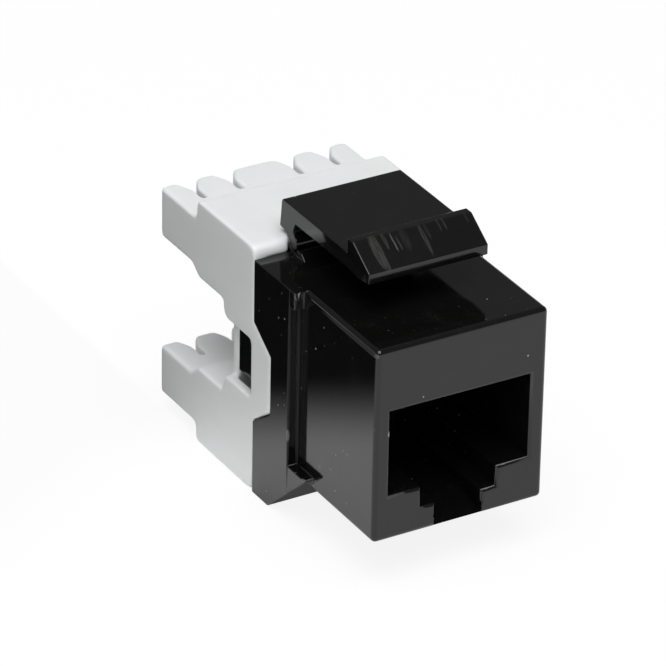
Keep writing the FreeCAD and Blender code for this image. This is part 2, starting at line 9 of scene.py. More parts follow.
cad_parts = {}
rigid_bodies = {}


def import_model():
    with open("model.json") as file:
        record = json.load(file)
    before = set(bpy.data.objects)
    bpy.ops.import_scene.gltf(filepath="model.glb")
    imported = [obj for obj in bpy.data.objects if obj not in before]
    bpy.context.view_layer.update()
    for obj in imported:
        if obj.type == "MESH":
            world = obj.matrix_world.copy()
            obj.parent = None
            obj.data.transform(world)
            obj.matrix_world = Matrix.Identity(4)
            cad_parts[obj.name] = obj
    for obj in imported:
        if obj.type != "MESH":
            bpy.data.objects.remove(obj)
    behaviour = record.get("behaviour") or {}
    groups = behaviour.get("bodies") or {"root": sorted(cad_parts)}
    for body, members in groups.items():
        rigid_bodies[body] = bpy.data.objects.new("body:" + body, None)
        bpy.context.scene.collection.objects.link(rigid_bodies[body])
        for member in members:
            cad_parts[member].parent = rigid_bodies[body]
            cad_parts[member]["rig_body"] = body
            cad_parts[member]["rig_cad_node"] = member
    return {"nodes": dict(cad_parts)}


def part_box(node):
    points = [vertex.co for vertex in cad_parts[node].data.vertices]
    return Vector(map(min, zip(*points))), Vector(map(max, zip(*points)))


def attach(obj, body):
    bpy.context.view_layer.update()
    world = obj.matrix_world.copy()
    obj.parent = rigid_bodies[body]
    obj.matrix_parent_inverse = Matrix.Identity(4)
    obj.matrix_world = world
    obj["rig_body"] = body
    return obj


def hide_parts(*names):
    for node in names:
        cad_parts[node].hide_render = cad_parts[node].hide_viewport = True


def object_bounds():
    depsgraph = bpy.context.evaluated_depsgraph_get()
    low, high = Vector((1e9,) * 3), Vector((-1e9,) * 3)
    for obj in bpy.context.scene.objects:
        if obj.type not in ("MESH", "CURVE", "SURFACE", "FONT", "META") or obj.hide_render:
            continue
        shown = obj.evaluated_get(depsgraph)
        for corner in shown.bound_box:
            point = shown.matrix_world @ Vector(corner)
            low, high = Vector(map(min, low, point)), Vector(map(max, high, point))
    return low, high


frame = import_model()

bl_info = {
    "name": "Keystone Jack",
    "version": (1, 0, 0),
    "blender": (4, 5, 0),
    "location": "View3D > Sidebar > Jack",
    "description": "Finishes the mouldings, springs and board of a keystone jack and lights it",
    "category": "Object",
}

CAD_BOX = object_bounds()
MM = 0.001

# How corners and edges are told apart, and how finely loose triangles are joined.
WELD_DISTANCE = 0.002 * MM
FLAT_ANGLE = radians(0.5)
SHARP_ANGLE = radians(28)
SMOOTH_ANGLE = radians(50)
STRAIGHT_CORNER = radians(14)
KNIFE_CORNER = radians(166)
PLAINNESS = 0.15

# Rounds on the small pieces, and how far back the corners of the port's mouth stay crisp.
CARRIER_EDGE = 0.03 * MM
SPRING_EDGE = 0.05 * MM
TERMINAL_EDGE = 0.03 * MM
CRISP_MOUTH = 3.0 * MM

PLASTIC_IOR = 1.5
DIRT_COLOUR = (0.58, 0.56, 0.52, 1)
CARRIER_GREY = (0.008, 0.008, 0.009, 1)
CARD_BLACK = (0.012, 0.012, 0.012, 1)

# The stage, in metres: the floor, the card's width and its lift off the floor, and the
# height at which the pale walls of the room end, as sines of the angle of sight.
FLOOR_WIDTH = 3.0
CARD_WIDTH = 0.4
CARD_LIFT = 0.2 * MM
PALE_WALLS, DIM_ABOVE = 0.12, 0.22
SENSOR_WIDTH = 36.0
NEAREST_SEEN = 0.01

# The lamps: name, place from the middle of the jack and width in metres, and power in watts.
LAMPS = (
    ("key_lamp", (-0.1, -0.17, 0.6), 0.6, 4.7),
    ("fill_lamp", (-0.6, -0.1, 0.15), 0.4, 0.15),
)

HOUSING_LOW, HOUSING_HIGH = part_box("housing")
LATCH_LOW, LATCH_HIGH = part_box("latch_arm")
BLOCK_LOW, BLOCK_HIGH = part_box("idc_block")
BOARD_LOW, BOARD_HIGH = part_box("circuit_board")
FLANGE_LEFT = HOUSING_LOW.x
FLANGE_FRONT = HOUSING_LOW.y + 11.2 * MM
FACE_LEFT = FLANGE_LEFT + 0.85 * MM
FACE_TOP = HOUSING_HIGH.z - 0.5 * MM
CONTACTS = sorted(name for name in frame["nodes"] if name.startswith("contact_")
                  and name[-1].isdigit())
TERMINALS = sorted(name for name in frame["nodes"] if name.startswith("idc_terminal_"))


# ---------------------------------------------------------------- settings

class JackPlasticSettings(bpy.types.PropertyGroup):
    """Colours and finishes of the two mouldings"""
    black: FloatVectorProperty(
        name="Black plastic", description="Colour of the housing and its latch",
        subtype="COLOR", size=3, min=0, max=1, default=(0.0035, 0.0035, 0.0034))
    black_roughness: FloatProperty(
        name="Black roughness", description="How far the polished black blurs what it mirrors",
        subtype="FACTOR", min=0, max=1, default=0.09)
    white: FloatVectorProperty(
        name="White plastic", description="Colour of the punch-down block",
        subtype="COLOR", size=3, min=0, max=1, default=(0.78, 0.8, 0.8))
    white_roughness: FloatProperty(
        name="White roughness", description="Roughness of the satin white block",
        subtype="FACTOR", min=0, max=1, default=0.42)
    dust: FloatVectorProperty(
        name="Dust", description="Colour of the specks and rubbed marks on the black plastic",
        subtype="COLOR", size=3, min=0, max=1, default=(0.42, 0.42, 0.4))
    speck_spacing: FloatProperty(
        name="Speck spacing", description="Usual distance between two specks of dust",
        unit="LENGTH", min=0.0001, default=0.0008)
    housing_edge: FloatProperty(
        name="Housing edge", description="Radius on the sharp edges of the housing and latch",
        unit="LENGTH", min=0, default=0.00008)
    block_grid: FloatProperty(
        name="Block grid", description="Size of the grid on which the soft block is remade",
        unit="LENGTH", min=0.00005, default=0.00013)
    block_softness: IntProperty(
        name="Block softness", description="How many times the edges of the block are eased",
        min=0, max=40, default=18)


class JackMetalSettings(bpy.types.PropertyGroup):
    """Colours of the springs, terminals and board"""
    gold: FloatVectorProperty(
        name="Gold", description="Plating of the contact springs",
        subtype="COLOR", size=3, min=0, max=1, default=(0.83, 0.62, 0.25))
    tin: FloatVectorProperty(
        name="Tin", description="Plating of the punch-down terminals",
        subtype="COLOR", size=3, min=0, max=1, default=(0.72, 0.71, 0.68))
    mask: FloatVectorProperty(
        name="Solder mask", description="Green coat of the circuit board",
        subtype="COLOR", size=3, min=0, max=1, default=(0.01, 0.09, 0.035))


class JackStudioSettings(bpy.types.PropertyGroup):
    """Camera, lamps and floor"""
    turn: FloatProperty(
        name="Turn", description="Angle of the camera to the left of the front face",
        subtype="ANGLE", default=radians(30.613))
    rise: FloatProperty(
        name="Rise", description="Angle of the camera above the floor",
        subtype="ANGLE", default=radians(28.915))
    roll: FloatProperty(
        name="Roll", description="Tilt of the camera about its own line of sight",
        subtype="ANGLE", default=radians(1.135))
    distance: FloatProperty(
        name="Distance", description="From the camera to the point it looks at",
        unit="LENGTH", default=0.39069)
    target: FloatVectorProperty(
        name="Target", description="The point that the camera looks at",
        subtype="TRANSLATION", size=3, default=(-0.005064, 0.01, 0.005004))
    lens: FloatProperty(
        name="Lens", description="Focal length in millimetres", default=287.53)
    floor: FloatVectorProperty(
        name="Floor", description="Colour of the floor",
        subtype="COLOR", size=3, min=0, max=1, default=(0.86, 0.86, 0.86))
    shadow: FloatProperty(
        name="Shadow", description="How much of the floor's brightness the jack can shade",
        subtype="FACTOR", min=0, max=1, default=0.12)
    mirrored_shadow: FloatProperty(
        name="Mirrored shadow", description="The same share in what polished surfaces mirror",
        subtype="FACTOR", min=0, max=1, default=0.95)
    room: FloatProperty(
        name="Room", description="Brightness of the dim room above the walls",
        min=0, default=0.15)
    card_turn: FloatProperty(
        name="Card turn", description="Angle of the black card's edge to the front of the jack",
        subtype="ANGLE", default=radians(30.5))
    card_edge: FloatProperty(
        name="Card edge", description="From the jack's front to where the black card begins",
        unit="LENGTH", default=0.0235)
    card_fade: FloatProperty(
        name="Card fade", description="Width over which the edge of the card fades",
        unit="LENGTH", min=0, default=0.012)


# ---------------------------------------------------------------- tools for making pieces

def let_go():
    """Leave edit mode and deselect every object."""
    if bpy.context.object and bpy.context.object.mode != "OBJECT":
        bpy.ops.object.mode_set(mode="OBJECT")
    bpy.ops.object.select_all(action="DESELECT")


def take(piece):
    """Select one object alone and make it the active one."""
    let_go()
    piece.hide_viewport = False
    piece.select_set(True)
    bpy.context.view_layer.objects.active = piece


def clean_copy(node, name):
    """Copy a CAD node as a piece of its own, with its loose triangles joined into faces."""
    take(frame["nodes"][node])
    bpy.ops.object.duplicate()
    piece = bpy.context.object
    piece.name = piece.data.name = name
    bpy.ops.object.parent_clear(type="CLEAR_KEEP_TRANSFORM")
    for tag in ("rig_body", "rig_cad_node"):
        del piece[tag]
    bpy.ops.object.mode_set(mode="EDIT")
    bpy.ops.mesh.select_all(action="SELECT")
    bpy.ops.mesh.remove_doubles(threshold=WELD_DISTANCE)
    bpy.ops.mesh.dissolve_limited(angle_limit=FLAT_ANGLE)
    bpy.ops.object.mode_set(mode="OBJECT")
    return piece


def has_room(loop):
    """Say whether a round along an edge can end cleanly at both corners of one face."""
    here = loop.link_loop_next.vert.co - loop.vert.co
    for beside in (loop.link_loop_prev, loop.link_loop_next):
        along = beside.link_loop_next.vert.co - beside.vert.co
        turned = here.angle(along)
        goes_on = beside.edge.calc_face_angle(0) > SHARP_ANGLE
        if turned > KNIFE_CORNER or (turned < STRAIGHT_CORNER and not goes_on):
            return False
    return True


def break_edges(piece, radius, segments=2, crisp_front=0.0):
    """Round off the sharp edges of a piece and shade it smooth across the rounds.

    Inner corners that end nearer the front than crisp_front stay sharp.
    """
    take(piece)
    bpy.ops.object.mode_set(mode="EDIT")
    bpy.ops.mesh.select_mode(type="EDGE")
    bpy.ops.mesh.select_all(action="DESELECT")
    mesh = bmesh.from_edit_mesh(piece.data)
    for edge in mesh.edges:
        if not edge.is_convex and max(corner.co.y for corner in edge.verts) < crisp_front:
            continue
        if edge.calc_face_angle(0) > SHARP_ANGLE:
            edge.select_set(all(has_room(loop) for loop in edge.link_loops))
    bmesh.update_edit_mesh(piece.data)
    bpy.ops.mesh.bevel(offset=radius, segments=segments, profile=0.5, clamp_overlap=False,
                       loop_slide=False)
    bpy.ops.object.mode_set(mode="OBJECT")
    shade_evenly(piece)


def shade_evenly(piece):
    """Shade a piece smooth, its wide faces keeping their own flat look."""
    take(piece)
    bpy.ops.object.shade_smooth_by_angle(angle=SMOOTH_ANGLE)
    bpy.ops.object.modifier_add(type="WEIGHTED_NORMAL")
    weighted = piece.modifiers[-1]
    weighted.weight = 100
    weighted.keep_sharp = True
    bpy.ops.object.modifier_apply(modifier=weighted.name)
    let_go()


def remake(piece, grid, adaptivity):
    """Remake a piece's surface on a fine grid, plainer where it is flat."""
    bpy.ops.object.modifier_add(type="REMESH")
    remesh = piece.modifiers[-1]
    remesh.mode = "VOXEL"
    remesh.voxel_size = grid
    remesh.adaptivity = adaptivity
    remesh.use_smooth_shade = True
    bpy.ops.object.modifier_apply(modifier=remesh.name)


def soften(piece, grid, times, low, high):
    """Ease all the edges of a piece, as a soft moulding has them, and keep it in its box."""
    take(piece)
    remake(piece, grid, 0)
    bpy.ops.object.modifier_add(type="SMOOTH")
    smooth = piece.modifiers[-1]
    smooth.factor = 0.5
    smooth.iterations = times
    bpy.ops.object.modifier_apply(modifier=smooth.name)
    remake(piece, grid, PLAINNESS * grid)
    for corner in piece.data.vertices:
        corner.co = [min(max(value, least), most)
                     for value, least, most in zip(corner.co, low, high)]
    let_go()


def finish_piece(piece, material, body, slot, *nodes):
    """Give a piece its material and its body, and hide the CAD nodes that it stands for."""
    piece.data.materials.clear()
    piece.data.materials.append(material)
    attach(piece, body)
    if nodes:
        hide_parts(*nodes)


# ---------------------------------------------------------------- tools for mixing finishes

class Mix:
    """A material being mixed: keeps the node tree short to write."""

    def __init__(self, name):
        self.material = bpy.data.materials.new(name)
        self.material.use_nodes = True
        self.tree = self.material.node_tree
        self.shader = self.tree.nodes["Principled BSDF"]
        self.place = self.add("ShaderNodeTexCoord").outputs["Object"]

    def add(self, kind, **settings):
        """Add a node; settings name its attributes, or its inputs where it has no such one."""
        node = self.tree.nodes.new(kind)
        for key, value in settings.items():
            if hasattr(node, key):
                setattr(node, key, value)
            else:
                self.feed(node.inputs[key.replace("_", " ")], value)
        return node

    def feed(self, socket, value):
        """Link an output to a socket, or set the socket to a constant."""
        if isinstance(value, bpy.types.NodeSocket):
            self.tree.links.new(value, socket)
        else:
            socket.default_value = value

    def move(self, centre=(0, 0, 0), turn=(0, 0, 0), scale=(1, 1, 1)):
        """Return the object coordinates moved, turned and scaled."""
        mapping = self.add("ShaderNodeMapping", vector_type="TEXTURE")
        mapping.inputs["Location"].default_value = centre
        mapping.inputs["Rotation"].default_value = turn
        mapping.inputs["Scale"].default_value = scale
        self.feed(mapping.inputs["Vector"], self.place)
        return mapping.outputs["Vector"]

    def noise(self, size, vector=None, detail=3.0, roughness=0.55):
        """Return soft noise whose features are about one size across, in metres."""
        node = self.add("ShaderNodeTexNoise", Scale=1 / size, Detail=detail,
                        Roughness=roughness)
        self.feed(node.inputs["Vector"], vector or self.place)
        return node.outputs["Fac"]

    def ramp(self, value, low, high, out_low=0.0, out_high=1.0):
        """Return a value stretched from one range onto another and clamped."""
        node = self.add("ShaderNodeMapRange", interpolation_type="SMOOTHSTEP")
        for socket, number in zip(list(node.inputs)[:5], (value, low, high, out_low, out_high)):
            self.feed(socket, number)
        return node.outputs["Result"]

    def sum(self, operation, first, second):
        """Return two values put together by one sum."""
        node = self.add("ShaderNodeMath", operation=operation, use_clamp=False)
        self.feed(node.inputs[0], first)
        self.feed(node.inputs[1], second)
        return node.outputs[0]

    def blend(self, amount, first, second):
        """Return one colour laid over another by an amount."""
        node = self.add("ShaderNodeMix", data_type="RGBA")
        self.feed(node.inputs[0], amount)
        self.feed(node.inputs[6], first)
        self.feed(node.inputs[7], second)
        return node.outputs[2]

    def spot(self, centre, reach, turn=(0, 0, 0)):
        """Return 1 at a place and 0 beyond an ellipsoid round it."""
        node = self.add("ShaderNodeTexGradient", gradient_type="SPHERICAL")
        self.feed(node.inputs["Vector"], self.move(centre, turn, reach))
        return node.outputs["Fac"]

    def bump(self, height, distance, under=None):
        """Return a normal raised by a height value, over another normal if one is given."""
        node = self.add("ShaderNodeBump", Strength=1.0, Distance=distance, Height=height)
        if under is not None:
            self.feed(node.inputs["Normal"], under)
        return node.outputs["Normal"]

    def finish(self, **sockets):
        """Set or link the shader's own sockets and return the material."""
        for key, value in sockets.items():
            self.feed(self.shader.inputs[key.replace("_", " ")], value)
        return self.material


def colour(rgb):
    """Return a colour as the four numbers that a socket takes."""
    return (*rgb, 1.0)


def specks(mix, spacing, size, bright):
    """Return the cover of specks strewn at random, up to a size as a share of their spacing."""
    cells = mix.add("ShaderNodeTexVoronoi", Scale=1 / spacing, Randomness=1.0)
    mix.feed(cells.inputs["Vector"], mix.place)
    split = mix.add("ShaderNodeSeparateColor")
    mix.feed(split.inputs[0], cells.outputs["Color"])
    reach = mix.ramp(split.outputs[0], 0.35, 1.0, 0.0, size)
    ragged = mix.sum("MULTIPLY", mix.noise(0.1 * MM, detail=2.0), 0.6 * size)
    near = mix.sum("ADD", cells.outputs["Distance"], ragged)
    speck = mix.ramp(mix.sum("SUBTRACT", reach, near), -0.02, 0.01)
    return mix.sum("MULTIPLY", speck, mix.ramp(split.outputs[1], 0.2, 1.0, 0.1 * bright, bright))


def black_plastic(plastic, name, rubbed, dull=()):
    """Polished black moulding with dust, rubbed marks, and dull corners given as long spots."""
    mix = Mix(name)
    cover = specks(mix, plastic.speck_spacing, 0.115, 0.9)
    fine = specks(mix, 0.65 * plastic.speck_spacing, 0.11, 0.14)
    cover = mix.sum("MAXIMUM", cover, fine)
    for centre, reach, turn, strength in rubbed:
        patch = mix.ramp(mix.spot(centre, reach, turn), 0.0, 0.35)
        along = mix.move(centre, turn, (1, 22, 1))
        streaks = mix.noise(0.08 * MM, along, detail=3.0, roughness=0.6)
        worn = mix.ramp(streaks, 0.3, 0.66, 0.15 * strength, strength)
        marks = mix.sum("MULTIPLY", patch, worn)
        cover = mix.sum("MAXIMUM", cover, marks)
    handled = mix.ramp(mix.noise(2.5 * MM, detail=4.0), 0.5, 0.78)
    strokes = mix.noise(0.18 * MM, mix.move(scale=(1, 2, 1)), detail=4.0)
    wiped = mix.ramp(strokes, 0.42, 0.7, 0.0, 0.02)
    cover = mix.sum("MAXIMUM", cover, mix.sum("MULTIPLY", handled, wiped))
    base = mix.blend(cover, colour(plastic.black), colour(plastic.dust))
    gloss = mix.ramp(mix.noise(4 * MM), 0.35, 0.7, plastic.black_roughness - 0.02,
                     plastic.black_roughness + 0.02)
    rough = mix.ramp(cover, 0.0, 0.6, gloss, 0.8)
    for centre, reach in dull:
        corner = mix.ramp(mix.spot(centre, reach), 0.0, 0.3, 0.0, 0.7)
        rough = mix.sum("MAXIMUM", rough, corner)
    waviness = mix.bump(mix.noise(5 * MM, detail=1.0), 0.003 * MM)
    grain = mix.bump(cover, 0.01 * MM, under=waviness)
    return mix.finish(Base_Color=base, Roughness=rough, IOR=PLASTIC_IOR, Normal=grain)


def white_plastic(plastic):
    """Satin white moulding with a faint flow pattern and a little dirt."""
    mix = Mix("satin_white_plastic")
    flow = mix.noise(3 * MM, mix.move(scale=(1, 2.5, 1)), detail=2.0)
    tone = mix.blend(mix.ramp(flow, 0.3, 0.75), colour(plastic.white),
                     colour([part * 0.97 for part in plastic.white]))
    dirt = mix.ramp(mix.noise(1.4 * MM, detail=6.0, roughness=0.7), 0.66, 0.82, 0.0, 0.35)
    tone = mix.blend(dirt, tone, DIRT_COLOUR)
    rough = mix.ramp(mix.noise(2 * MM), 0.3, 0.7, plastic.white_roughness - 0.05,
                     plastic.white_roughness + 0.05)
    skin = mix.bump(mix.noise(0.25 * MM, detail=3.0), 0.004 * MM)
    return mix.finish(Base_Color=tone, Roughness=rough, IOR=PLASTIC_IOR, Normal=skin)


def carrier_plastic(plastic):
    """Duller black moulding of the carrier, deep in the port."""
    mix = Mix("satin_black_carrier")
    shade = mix.ramp(mix.noise(2 * MM), 0.3, 0.7)
    base = mix.blend(shade, colour(plastic.black), CARRIER_GREY)
    rough = mix.ramp(mix.noise(0.8 * MM), 0.3, 0.7, 0.32, 0.42)
    skin = mix.bump(mix.noise(0.2 * MM), 0.005 * MM)
    return mix.finish(Base_Color=base, Roughness=rough, IOR=PLASTIC_IOR, Normal=skin)


def plated_metal(name, plating, drawn, low, high):
    """A plated spring metal with fine drawing lines along the jack."""
    mix = Mix(name)
    lines = mix.noise(0.4 * MM, mix.move(scale=(0.25, drawn, 0.25)), detail=4.0)
    tone = mix.blend(mix.ramp(lines, 0.35, 0.75), colour(plating),
                     colour([part * 0.82 for part in plating]))
    rough = mix.ramp(lines, 0.3, 0.7, low, high)
    skin = mix.bump(lines, 0.003 * MM)
    mix.shader.inputs["Metallic"].default_value = 1.0
    return mix.finish(Base_Color=tone, Roughness=rough, Normal=skin)


def solder(metal):
    """Bright solder with the dull patches and fine ripples it sets with."""
    mix = Mix("bright_solder")
    dull = mix.ramp(mix.noise(0.3 * MM, detail=3.0), 0.4, 0.7)
    tone = mix.blend(dull, colour([part * 1.1 for part in metal.tin]), colour(metal.tin))
    rough = mix.ramp(dull, 0.0, 1.0, 0.14, 0.34)
    skin = mix.bump(mix.noise(0.15 * MM, detail=2.0), 0.008 * MM)
    mix.shader.inputs["Metallic"].default_value = 1.0
    return mix.finish(Base_Color=tone, Roughness=rough, Normal=skin)


def board_mask(metal):
    """Green solder mask with the weave of the glass cloth just showing."""
    mix = Mix("green_solder_mask")
    weave = []
    for axis in ("X", "Z"):
        wave = mix.add("ShaderNodeTexWave", bands_direction=axis, Scale=1 / (3.5 * MM),
                       Distortion=0.6, Detail=1.0)
        mix.feed(wave.inputs["Vector"], mix.place)
        weave.append(wave.outputs["Fac"])
    cloth = mix.sum("MULTIPLY", *weave)
    tone = mix.blend(mix.ramp(cloth, 0.2, 0.9), colour(metal.mask),
                     colour([part * 1.5 for part in metal.mask]))
    skin = mix.bump(cloth, 0.006 * MM)
    rough = mix.ramp(mix.noise(MM), 0.3, 0.7, 0.22, 0.32)
    return mix.finish(Base_Color=tone, Roughness=rough, IOR=PLASTIC_IOR, Normal=skin)


# ---------------------------------------------------------------- the pieces

def mm(*lengths):
    """Return lengths given in millimetres as metres."""
    return tuple(length * MM for length in lengths)


# The rubbed spots of the housing and one pale speck: centre, reach, turn and strength.
LEVEL, UPRIGHT = (0, 0, 0), (radians(90), 0, 0)
HOUSING_MARKS = (
    ((FLANGE_LEFT, 10.5 * MM, 8.1 * MM), mm(0.3, 0.9, 0.3), UPRIGHT, 0.05),
    ((FACE_LEFT, 0, FACE_TOP - 0.4 * MM), mm(0.25, 0.5, 0.25), LEVEL, 0.25),
    ((-0.5 * MM, 0.03 * MM, FACE_TOP), mm(8.8, 0.13, 0.13), LEVEL, 0.3),
    ((FLANGE_LEFT, FLANGE_FRONT, -3.5 * MM), mm(0.2, 0.6, 0.3), UPRIGHT, 0.4),
    ((FLANGE_LEFT, 8.8 * MM, -6.1 * MM), mm(0.2, 0.4, 0.2), LEVEL, 0.35),
    # A small pale speck on the lead-in at the port's left edge, in the dust colour.
    (mm(-5.94, 0.02, 1.72), mm(0.3, 0.35, 0.3), LEVEL, 1.5),
)

# The edges of the housing that are duller than its polish: centre and reach.
DULL_EDGES = (
    ((FACE_LEFT, FLANGE_FRONT, 0.65 * MM), mm(0.25, 0.25, 10.5)),
    ((FLANGE_LEFT, FLANGE_FRONT, 0.65 * MM), mm(0.2, 0.2, 10.5)),
    ((FACE_LEFT, 1.8 * MM, FACE_TOP - 0.4 * MM), mm(0.22, 7.2, 0.22)),
)


class JACK_OT_housing(bpy.types.Operator):
    """Finish the black housing: edges broken, polished, dusty and rubbed at its front"""
    bl_idname = "jack.housing"
    bl_label = "Housing"

    def execute(self, context):
        plastic = context.scene.jack_plastic
        piece = clean_copy("housing", "housing_moulding")
        break_edges(piece, plastic.housing_edge, crisp_front=CRISP_MOUTH)
        material = black_plastic(plastic, "polished_black_housing", HOUSING_MARKS, DULL_EDGES)
        finish_piece(piece, material, "jack_body", "black_plastic", "housing")
        return {"FINISHED"}


RAMP_LENGTH, RAMP_DROP = 2.4 * MM, 1.55 * MM

# The scuffs down the ramp of the hook: place across the jack and width in millimetres,
# start and end as shares of the ramp's length from its crest, and strength.
RAMP_SCUFFS = (
    (-3.5, 1.0, -0.25, 1.1, 0.085),
    (-3.3, 0.5, 0.3, 1.2, 0.07),
    (-2.6, 0.35, -0.15, 0.5, 0.06),
    (-1.95, 0.16, -0.1, 0.62, 0.14),
    (-1.6, 0.2, 0.05, 0.6, 0.07),
    (-1.0, 0.7, -0.1, 0.65, 0.025),
    (0.5, 0.42, -0.15, 1.0, 0.065),
    (0.95, 0.3, -0.1, 0.5, 0.03),
    (2.05, 0.22, -0.15, 0.35, 0.045),
    (2.5, 0.22, -0.15, 0.35, 0.055),
    (4.4, 0.25, -0.1, 0.3, 0.03),
)


def ramp_scuff(across, width, start, end, strength):
    """Return one scuff on the hook's ramp as a long thin spot that lies along the slope."""
    crest = Vector((across * MM, LATCH_LOW.y + RAMP_LENGTH, LATCH_HIGH.z))
    slope = Vector((0, -RAMP_LENGTH, -RAMP_DROP))
    centre = crest + slope * (start + end) / 2
    reach = (width / 2 * MM, slope.length * (end - start) / 2, 0.3 * MM)
    return centre, reach, (atan2(slope.z, slope.y) - pi, 0, 0), strength


class JACK_OT_latch(bpy.types.Operator):
    """Finish the sprung latch: edges broken, polished, its ramp scuffed by the panel"""
    bl_idname = "jack.latch"
    bl_label = "Latch"

    def execute(self, context):
        plastic = context.scene.jack_plastic
        piece = clean_copy("latch_arm", "latch_moulding")
        break_edges(piece, plastic.housing_edge)
        rubbed = [ramp_scuff(*scuff) for scuff in RAMP_SCUFFS]
        material = black_plastic(plastic, "polished_black_latch", rubbed)
        finish_piece(piece, material, "latch", "black_plastic", "latch_arm")
        return {"FINISHED"}


class JACK_OT_punch_down_block(bpy.types.Operator):
    """Finish the white punch-down block with softened edges"""
    bl_idname = "jack.punch_down_block"
    bl_label = "Punch-down block"

    def execute(self, context):
        plastic = context.scene.jack_plastic
        piece = clean_copy("idc_block", "punch_down_block")
        soften(piece, plastic.block_grid, plastic.block_softness, BLOCK_LOW, BLOCK_HIGH)
        finish_piece(piece, white_plastic(plastic), "jack_body", "white_plastic", "idc_block")
        return {"FINISHED"}


class JACK_OT_carrier(bpy.types.Operator):
    """Finish the carrier at the back of the plug port"""
    bl_idname = "jack.carrier"
    bl_label = "Contact carrier"

    def execute(self, context):
        piece = clean_copy("contact_carrier", "carrier_moulding")
        break_edges(piece, CARRIER_EDGE, segments=1)
        material = carrier_plastic(context.scene.jack_plastic)
        finish_piece(piece, material, "jack_body", "carrier_plastic", "contact_carrier")
        return {"FINISHED"}


class JACK_OT_contact_springs(bpy.types.Operator):
    """Finish the eight gold-plated contact springs"""
    bl_idname = "jack.contact_springs"
    bl_label = "Contact springs"

    def execute(self, context):
        material = plated_metal("gold_plated_spring", context.scene.jack_metal.gold, 8, 0.16, 0.3)
        for node in CONTACTS:
            piece = clean_copy(node, node.replace("contact", "spring"))
            break_edges(piece, SPRING_EDGE)
            finish_piece(piece, material, "jack_body", "gold_wire", node)
        return {"FINISHED"}


class JACK_OT_terminals(bpy.types.Operator):
    """Finish the eight tin-plated punch-down terminals"""
    bl_idname = "jack.terminals"
    bl_label = "Punch-down terminals"

    def execute(self, context):
        material = plated_metal("tin_plated_terminal", context.scene.jack_metal.tin, 6, 0.25, 0.4)
        for node in TERMINALS:
            piece = clean_copy(node, node.replace("idc_terminal", "terminal"))
            break_edges(piece, TERMINAL_EDGE)
            finish_piece(piece, material, "jack_body", "tinned_bronze", node)
        return {"FINISHED"}


# A solder joint's rings, from the pad up: height and radius in millimetres.
SOLDER_RINGS = ((0.02, 0.42), (0.05, 0.31), (0.12, 0.285), (0.26, 0.275), (0.32, 0.22))


def solder_pattern():
    """Model one solder joint that stands up from the origin, its pad at the foot."""
    let_go()
    foot = SOLDER_RINGS[0][1] * MM
    bpy.ops.mesh.primitive_circle_add(vertices=24, radius=foot, fill_type="NGON")
    joint = bpy.context.object
    bpy.ops.object.mode_set(mode="EDIT")
    bpy.ops.mesh.select_all(action="SELECT")
    height, radius = 0, foot
    for up, across in SOLDER_RINGS:
        bpy.ops.mesh.extrude_region_move(
            TRANSFORM_OT_translate={"value": (0, 0, up * MM - height)})
        share = across * MM / radius
        bpy.ops.transform.resize(value=(share, share, 1), center_override=(0, 0, up * MM))
        height, radius = up * MM, across * MM
    bpy.ops.mesh.select_all(action="SELECT")
    bpy.ops.mesh.normals_make_consistent(inside=False)
    bpy.ops.object.mode_set(mode="OBJECT")
    return joint


class JACK_OT_solder(bpy.types.Operator):
    """Solder the springs to the back of the board and the terminals to its front"""
    bl_idname = "jack.solder"
    bl_label = "Solder joints"

    def execute(self, context):
        half_wire, tail_shift = 0.15 * MM, 0.6 * MM
        places = []
        for node in CONTACTS:
            low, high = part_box(node)
            places.append(((low.x + high.x) / 2, BOARD_HIGH.y, high.z - half_wire, -1))
        for node in TERMINALS:
            low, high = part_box(node)
            middle = (low.x + high.x) / 2
            inward = middle - tail_shift if middle > 0 else middle + tail_shift
            places.append((inward, BOARD_LOW.y, (low.z + high.z) / 2, 1))
        material = solder(context.scene.jack_metal)
        pattern = solder_pattern()
        for number, (across, along, up, side) in enumerate(places, start=1):
            take(pattern)
            bpy.ops.object.duplicate()
            joint = bpy.context.object
            joint.name = joint.data.name = f"solder_joint_{number}"
            joint.location = (across, along, up)
            joint.rotation_euler = (side * radians(90), 0, 0)
            bpy.ops.object.transform_apply(location=True, rotation=True, scale=True)
            bpy.ops.object.shade_smooth_by_angle(angle=SMOOTH_ANGLE)
            finish_piece(joint, material, "jack_body", "tinned_bronze")
        take(pattern)
        bpy.ops.object.delete()
        return {"FINISHED"}


class JACK_OT_board(bpy.types.Operator):
    """Give the circuit board its solder mask"""
    bl_idname = "jack.board"
    bl_label = "Circuit board"

    def execute(self, context):
        node = frame["nodes"]["circuit_board"]
        node.data.materials.clear()
        node.data.materials.append(board_mask(context.scene.jack_metal))
        return {"FINISHED"}


# ---------------------------------------------------------------- the studio

class Sheet:
    """A material made of whole shaders: keeps the node tree short to write."""

    def __init__(self, name):
        self.material = bpy.data.materials.new(name)
        self.material.use_nodes = True
        self.tree = self.material.node_tree
        self.tree.nodes.clear()

    def add(self, kind, *inputs, **settings):
        """Add a node, set its attributes and feed its inputs in order."""
        node = self.tree.nodes.new(kind)
        for key, value in settings.items():
            setattr(node, key, value)
        for socket, value in zip(node.inputs, inputs):
            if isinstance(value, bpy.types.NodeSocket):
                self.tree.links.new(value, socket)
            else:
                socket.default_value = value
        return node.outputs

    def finish(self, surface):
        """Make a shader the surface and return the material."""
        self.add("ShaderNodeOutputMaterial", surface)
        return self.material


